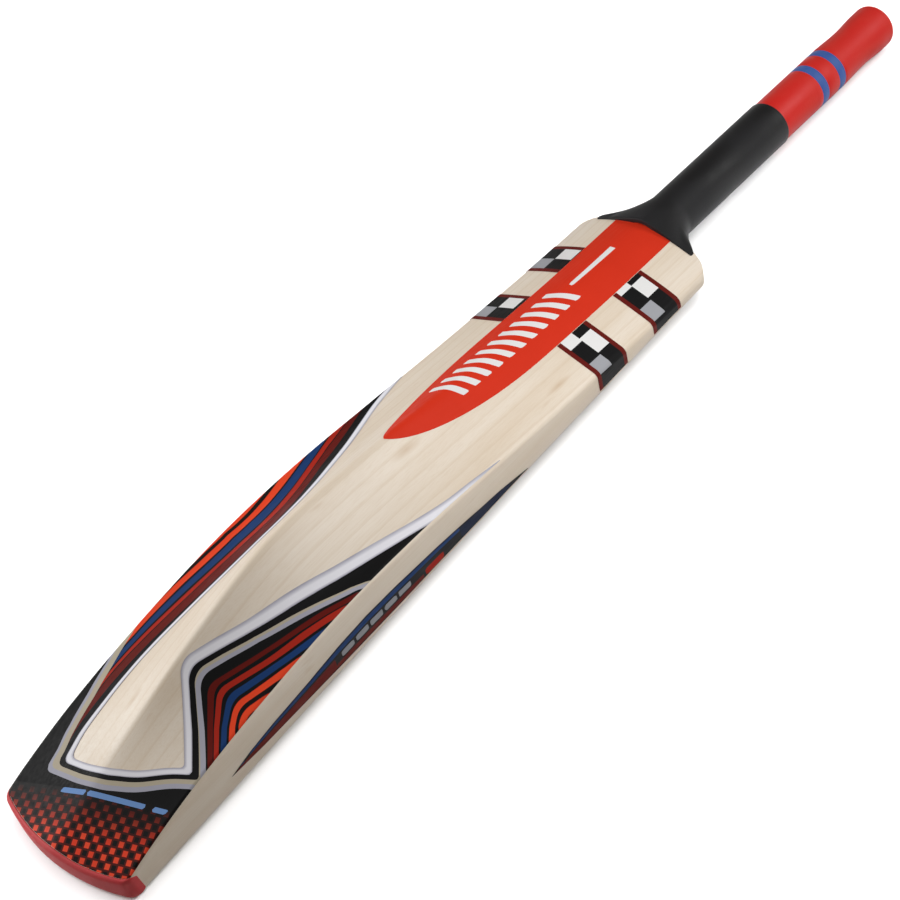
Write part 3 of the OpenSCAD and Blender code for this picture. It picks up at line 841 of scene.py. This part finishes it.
# Plain slanted strokes stand where the object has lettering
L_WHITE = 1
STROKE, STROKE_FROM, STROKE_PITCH, STROKE_SLANT = 5.5, 362, 11.3, 0.45
for i in range(11):
    start = STROKE_FROM + i * STROKE_PITCH

    def stroke(x, s, start=start):
        p = s - start - (x + 2) * STROKE_SLANT
        return np.minimum(np.minimum(p, STROKE - p), np.minimum(9.5 - x, x + 12.5))
    label_sheet.stamp(L_WHITE, stroke, over=[0])


def long_stroke(x, s):
    """A plain tapered line between the slanted strokes and the handle."""
    half = 1.6 + (s - 488) * 0.012
    return np.minimum(half - np.abs(x + 3), np.minimum(s - 490, 536 - s))


label_sheet.stamp(L_WHITE, long_stroke, over=[0])
label = slab("ridge_label", label_sheet, lift(STICKER_T), lift(0), [LABEL_RED, WHITE])
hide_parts("ridge_label")

# ---------------------------------------------------------------- checked bands
INNER_X, FLAT_X, SIDE_FOOT = LABEL_HALF_W + 0.4, HALF_W - CORNER_R, CORNER_R + 0.5
TURN = CORNER_R * math.pi / 2
ROUND_END = FLAT_X + TURN
SIDE_UNITS = 12.0
BORDER = 3.4
BAND_INKS = [BLACK, DARK_RED, WHITE, GREY]
# the grey ink here stands for white squares under painted shade
B_BORDER, B_WHITE, B_SHADED_WHITE = 1, 2, 3


def band_point(out, sign):
    """u is x on the back, then goes round the corner, then down the side."""
    def place(u, s):
        a = np.clip((u - FLAT_X) / CORNER_R, 0, math.pi / 2)
        x = np.minimum(u, FLAT_X) + CORNER_R * np.sin(a)
        down = np.maximum(u - ROUND_END, 0) / SIDE_UNITS
        top = back_z(np.minimum(x, HALF_W - 1e-6), s)
        z = top + (face_mid(s) + SIDE_FOOT - top) * down
        return in_frame(sign * (x + out * np.sin(a)), s, z + out * np.cos(a))
    return place


def checked_band(name, from_s, checks, sign):
    """checks holds, for the band's upper and lower row, the ink and the two ends of each pale square."""
    us = np.concatenate([np.linspace(INNER_X, FLAT_X, 22), FLAT_X + TURN * np.linspace(0, 1, 8)[1:],
                         ROUND_END + SIDE_UNITS * np.linspace(0, 1, 6)[1:]])
    ss = np.linspace(from_s, from_s + CHECK_W, 17)
    sheet = Sheet(np.tile(us, (len(ss), 1)), np.tile(ss[:, None], (1, len(us))))
    middle = from_s + CHECK_W / 2
    inner = lambda u, s: np.minimum(s - from_s - BORDER, from_s + CHECK_W - BORDER - s)
    sheet.stamp(B_BORDER, inverse(inner))
    for row, spans in enumerate(checks):
        half = (lambda u, s: s - middle) if row == 0 else (lambda u, s: middle - s)
        for ink_i, a, b in spans:
            sheet.stamp(ink_i, inner, half, lambda u, s, a=a, b=b: np.minimum(u - a, b - u), over=[0])
    if sign < 0:
        sheet.turn_over()
    made = slab(name, sheet, band_point(GAP + STICKER_T, sign), band_point(GAP, sign), BAND_INKS)
    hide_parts(name)
    return made


# The grey squares near the edges are white squares painted grey, a painted shade.
band_pieces = [
    checked_band("check_upper_right", CHECK_FROM[1],
                 ([(B_WHITE, 27, 40)], [(B_WHITE, INNER_X, 27.5), (B_SHADED_WHITE, 42, 53)]), 1),
    checked_band("check_lower_right", CHECK_FROM[0],
                 ([(B_WHITE, 29.5, 44)], [(B_WHITE, INNER_X, 31.5), (B_SHADED_WHITE, 45.5, 54.5)]), 1),
    checked_band("check_upper_left", CHECK_FROM[1],
                 ([(B_WHITE, 24, 38.5)], [(B_SHADED_WHITE, 39, 54)]), -1),
    checked_band("check_lower_left", CHECK_FROM[0],
                 ([(B_WHITE, 26, 40)], [(B_SHADED_WHITE, 41, 54)]), -1),
]

# ---------------------------------------------------------------- strips on the sides
STRIP_INKS = [BLACK, NAVY, DARK_RED, RED, GREY, DEEP_NAVY]
S_NAVY, S_DARK, S_RED, S_GREY, S_DEEP, S_OUTSIDE = 1, 2, 3, 4, 5, 9
LOW_S, LOW_H = np.array(STRIP_LOW, float).T
HIGH_S, HIGH_H = np.array(STRIP_HIGH, float).T


def strip_low(s):
    return np.interp(s, LOW_S, LOW_H)


def strip_high(s):
    return np.interp(s, HIGH_S, HIGH_H)


def side_strip(name, sign):
    ss = np.linspace(93, 366, 140)
    hs = np.linspace(2.8, 22.5, 14)
    sheet = Sheet(np.tile(ss[:, None], (1, len(hs))), np.tile(hs, (len(ss), 1)))
    sheet.stamp(S_OUTSIDE, lambda s, h: h - strip_high(s)).drop(S_OUTSIDE)
    sheet.stamp(S_OUTSIDE, lambda s, h: strip_low(s) - h).drop(S_OUTSIDE)

    def between(low, high, start, end):
        """low and high are shares of the strip's own width, start and end distances from the toe."""
        def field(s, h):
            f = (h - strip_low(s)) / np.maximum(strip_high(s) - strip_low(s), 0.3)
            return np.minimum(np.minimum(f - low, high - f) * 15, np.minimum(s - start, end - s))
        return field

    sheet.stamp(S_NAVY, between(0.72, 0.94, 100, 300))
    sheet.stamp(S_DEEP, between(0.10, 0.90, 300, 348), over=[0])
    sheet.stamp(S_DARK, between(0.05, 0.60, 96, 184), over=[0])
    sheet.stamp(S_DARK, between(0.05, 0.26, 184, 264), over=[0])
    sheet.stamp(S_RED, between(0.05, 0.42, 266, 283), over=[0])
    for start in range(190, 243, 13):
        sheet.stamp(S_GREY, between(0.34, 0.62, start, start + 11), over=[0])
    if sign > 0:
        sheet.turn_over()

    def out_by(out):
        return lambda s, h: in_frame(np.full_like(s, sign * (HALF_W + GAP + out)), s, face_mid(s) + h)
    made = slab(name, sheet, out_by(STICKER_T), out_by(0), STRIP_INKS)
    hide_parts(name)
    return made


strip_pieces = [side_strip("side_graphic_right", 1), side_strip("side_graphic_left", -1)]


# ---------------------------------------------------------------- tubes: grips
def loft(name, rings, materials, inks=None):
    """A closed skin through rings of points, the last ring joined back to the first one."""
    n, k = len(rings), len(rings[0])
    points = np.vstack(rings)
    faces, marks = [], []
    for j in range(n):
        a, b = j * k, ((j + 1) % n) * k
        for i in range(k):
            m = (i + 1) % k
            faces.append([a + i, a + m, b + m, b + i])
            marks.append(inks[j] if inks else 0)
    return mesh_object(name, points, faces, marks, materials)


SIDES = 96
angles = np.radians(np.arange(SIDES) * 360 / SIDES)


def ring(r, t, grow=0.0):
    """A round ring on the handle, or a spread one near its foot."""
    f = np.clip(1 - (t - FLARE_FROM) / FLARE_L, 0, 1) ** 1.5 * grow
    p = 2 / (2 - 0.7 * f)
    wide = r + (FLARE_HALF_W - LOWER_R) * f
    tall = r + 1.2 * f
    x = wide * np.sign(np.cos(angles)) * np.abs(np.cos(angles)) ** p
    y = tall * np.sign(np.sin(angles)) * np.abs(np.sin(angles)) ** p
    points = on_handle(x, y, np.full(SIDES, float(t)))
    return draped(points, y) if grow and t < FLARE_FROM + FLARE_L else points


lower_profile = [(LOWER_R - 1.0, -1.0), (LOWER_R - 0.3, -0.8), (LOWER_R, -0.2)]
lower_profile += [(LOWER_R, t) for t in np.arange(0.6, FLARE_FROM + FLARE_L + 2, 1.2)]
lower_profile += [(LOWER_R, t) for t in np.arange(36, GRIP_JOINT + LAP - 3, 4.0)]
top = GRIP_JOINT + LAP
lower_profile += [(LOWER_R, top - 1.4), (LOWER_R - 0.12, top - 0.7), (LOWER_R - 0.4, top - 0.2),
                  (LOWER_R - 0.75, top)]
# the inside steps in where the red grip's end lies under the black one
lower_bore = [(16.3, top), (16.3, GRIP_JOINT), (TWINE_R + 0.1, GRIP_JOINT), (TWINE_R + 0.1, -1.0)]
lower_rings = [ring(r, t, 1.0) for r, t in lower_profile] + [ring(r, t) for r, t in lower_bore]
lower_grip = loft("lower_grip", lower_rings, [BLACK_RUBBER])
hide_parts("lower_grip")

WAIST_L, BULB_L, GROOVE = 30, 13, 0.18
waist_t = BAND_FROM[1] + BAND_W + WAIST_L
bulb_t = GRIP_END - BULB_L


def upper_radius(t):
    ease = lambda u: (1 - np.cos(np.pi * np.clip(u, 0, 1))) / 2
    r = UPPER_R - (UPPER_R - WAIST_R) * ease((t - BAND_FROM[1] - BAND_W) / WAIST_L)
    return r + (BULB_R - WAIST_R) * ease((t - waist_t) / (bulb_t - waist_t))


RIM_R = 5.0
stops = [top - 1.5] + list(np.arange(top, BAND_FROM[0] - 1, 4.0))
for start in BAND_FROM:
    stops += [start - 0.5, start - 0.12]
    stops += [start + 0.12, start + 0.6, start + BAND_W - 0.6, start + BAND_W - 0.12]
    stops += [start + BAND_W + 0.12, start + BAND_W + 0.5]
stops += list(np.arange(BAND_FROM[1] + BAND_W + 3, GRIP_END - RIM_R, 2.5))
stops = sorted(stops)


def groove(t):
    """The thin moulded line at each edge of the blue bands."""
    edges = np.array([e for b in BAND_FROM for e in (b, b + BAND_W)])
    return GROOVE if np.abs(edges - t).min() < 0.2 else 0.0


upper_rings = [ring(16.1, GRIP_JOINT), ring(16.1, top - 1.5)]
upper_rings += [ring(upper_radius(t) - groove(t), t) for t in stops]
marks = [0, 0]
marks += [int(any(b < (t + u) / 2 < b + BAND_W for b in BAND_FROM)) for t, u in zip(stops, stops[1:])]
marks += [0]
for a in np.radians(np.arange(0, 91, 10)):
    upper_rings.append(ring(BULB_R - RIM_R + RIM_R * math.cos(a), GRIP_END - RIM_R + RIM_R * math.sin(a)))
    marks.append(0)
for r, t in ((LIP_R + 0.4, GRIP_END), (LIP_R + 0.1, GRIP_END - 0.15), (LIP_R, GRIP_END - 0.5),
             (LIP_R, GRIP_END - 2.0), (TWINE_R + 0.1, GRIP_END - 2.0), (TWINE_R + 0.1, GRIP_JOINT)):
    upper_rings.append(ring(r, t))
    marks.append(0)
upper_grip = loft("upper_grip", upper_rings, [RED_RUBBER, BLUE_RUBBER], inks=marks)
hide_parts("upper_grip", "grip_band_1", "grip_band_2")

# ---------------------------------------------------------------- toe guard
GUARD_FOOT, GUARD_LAP, GUARD_EASE = 5.0, 0.8, 0.6


def guard_profile(x):
    """The guard's outline at x as [distance from the toe, height], from the back's edge round to the face."""
    s, drop = toe_s(x), corner_drop(x, CORNER_R)
    top = back_z(x, s)
    inset = 0.4 * arc_drop(np.clip(GUARD_EASE - (HALF_W - abs(x)), 0, GUARD_EASE), GUARD_EASE) / GUARD_EASE
    steps = np.radians(np.arange(0, 91, 15))
    thick = GUARD_T - inset
    outline = [(-thick * math.sin(a), top - GUARD_T + thick * math.cos(a)) for a in steps]
    outline += [(GUARD_LAP - (GUARD_T + GUARD_LAP - inset) * math.cos(a),
                 drop + GUARD_FOOT - (GUARD_FOOT - inset) * math.sin(a)) for a in steps]
    outline.append((TOE_SLANT, face_mid(s + TOE_SLANT) + drop))
    return [(s + d, z) for d, z in outline]


guard_xs = HALF_W * np.sin(np.linspace(-math.pi / 2, math.pi / 2, 81))
guard_xs[[0, -1]] = -HALF_W + 0.02, HALF_W - 0.02
guard_xs = np.unique(np.concatenate([guard_xs, [-HALF_W + 0.3, -HALF_W + 0.6, HALF_W - 0.6, HALF_W - 0.3]]))
sections = [guard_profile(x) for x in guard_xs]
n, m = len(guard_xs), len(sections[0])
points = np.vstack([in_frame(np.full(m, x), *np.array(section).T) for x, section in zip(guard_xs, sections)])
faces = [[i * m + k, i * m + (k + 1) % m, (i + 1) * m + (k + 1) % m, (i + 1) * m + k]
         for i in range(n - 1) for k in range(m)]
faces.append(list(range(m))[::-1])
faces.append([(n - 1) * m + k for k in range(m)])
flats = {i for i in range(len(faces)) if i % m >= m - 2 or i >= (n - 1) * m}
toe_guard = mesh_object("toe_guard", points, faces, [0] * len(faces), [TOE_RUBBER], flat=flats)
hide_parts("toe_guard")

for piece in [blade, print_piece, label, lower_grip, upper_grip, toe_guard] + band_pieces + strip_pieces:
    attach(piece, "root")

# ---------------------------------------------------------------- CAD pieces that stay
FINISHES = {"cane": CANE, "insert": INSERT_RUBBER, "twine": TWINE}
for node_name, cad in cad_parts.items():
    finish = FINISHES.get(node_name.split("_")[0])
    if finish:
        for slot in cad.material_slots:
            slot.material = finish

# ---------------------------------------------------------------- floor, light and camera
scene = bpy.context.scene
scene.view_settings.view_transform = "Standard"
floor_mesh = bpy.data.meshes.new("studio_floor")
FLOOR_HALF, FLOOR_Z = 6.0, -0.0005
floor_corners = [(x * FLOOR_HALF, y * FLOOR_HALF, FLOOR_Z) for x, y in ((-1, -1), (1, -1), (1, 1), (-1, 1))]
floor_mesh.from_pydata(floor_corners, [], [(0, 1, 2, 3)])
floor = bpy.data.objects.new("studio_floor", floor_mesh)
scene.collection.objects.link(floor)
floor_paint = Paint("studio_floor", (246, 246, 247), 0.8)
floor_mesh.materials.append(floor_paint.m)

world = bpy.data.worlds.new("studio")
scene.world = world
world.use_nodes = True
world.node_tree.nodes["Background"].inputs["Color"].default_value = (1.0, 0.93, 0.84, 1.0)
world.node_tree.nodes["Background"].inputs["Strength"].default_value = 0.16


def soft_light(name, at, aim, size, power):
    data = bpy.data.lights.new(name, "AREA")
    data.shape, data.size, data.size_y, data.energy = "RECTANGLE", size[0], size[1], power
    lamp = bpy.data.objects.new(name, data)
    scene.collection.objects.link(lamp)
    lamp.location = at
    lamp.rotation_euler = (Vector(aim) - Vector(at)).to_track_quat("-Z", "Y").to_euler()
    lamp.visible_camera = False
    return lamp


soft_light("key_toe", (-0.70, -0.60, 0.36), (0.0, -0.25, 0.03), (0.45, 0.45), 5.9)
soft_light("key_handle", (0.50, 0.80, 0.56), (0.0, 0.2, 0.03), (0.4, 0.4), 3.7)
soft_light("key_middle", (0.24, 0.0, 0.38), (0.0, 0.0, 0.03), (0.25, 0.25), 1.0)
wash = soft_light("floor_wash", (0.0, 0.0, 3.0), (0.0, 0.0, 0.0), (4.0, 4.0), 110)
floor_only = bpy.data.collections.new("floor_only")
floor_only.objects.link(floor)
wash.light_linking.receiver_collection = floor_only
floor.visible_diffuse = False

camera_data = bpy.data.cameras.new("camera")
camera_data.lens, camera_data.sensor_width = 80.9, 36.0
camera = bpy.data.objects.new("camera", camera_data)
camera.location = (0.7062, -0.6387, 0.9447)
camera.rotation_euler = [math.radians(a) for a in (43.286, 10.620, 40.250)]
scene.collection.objects.link(camera)
scene.camera = camera
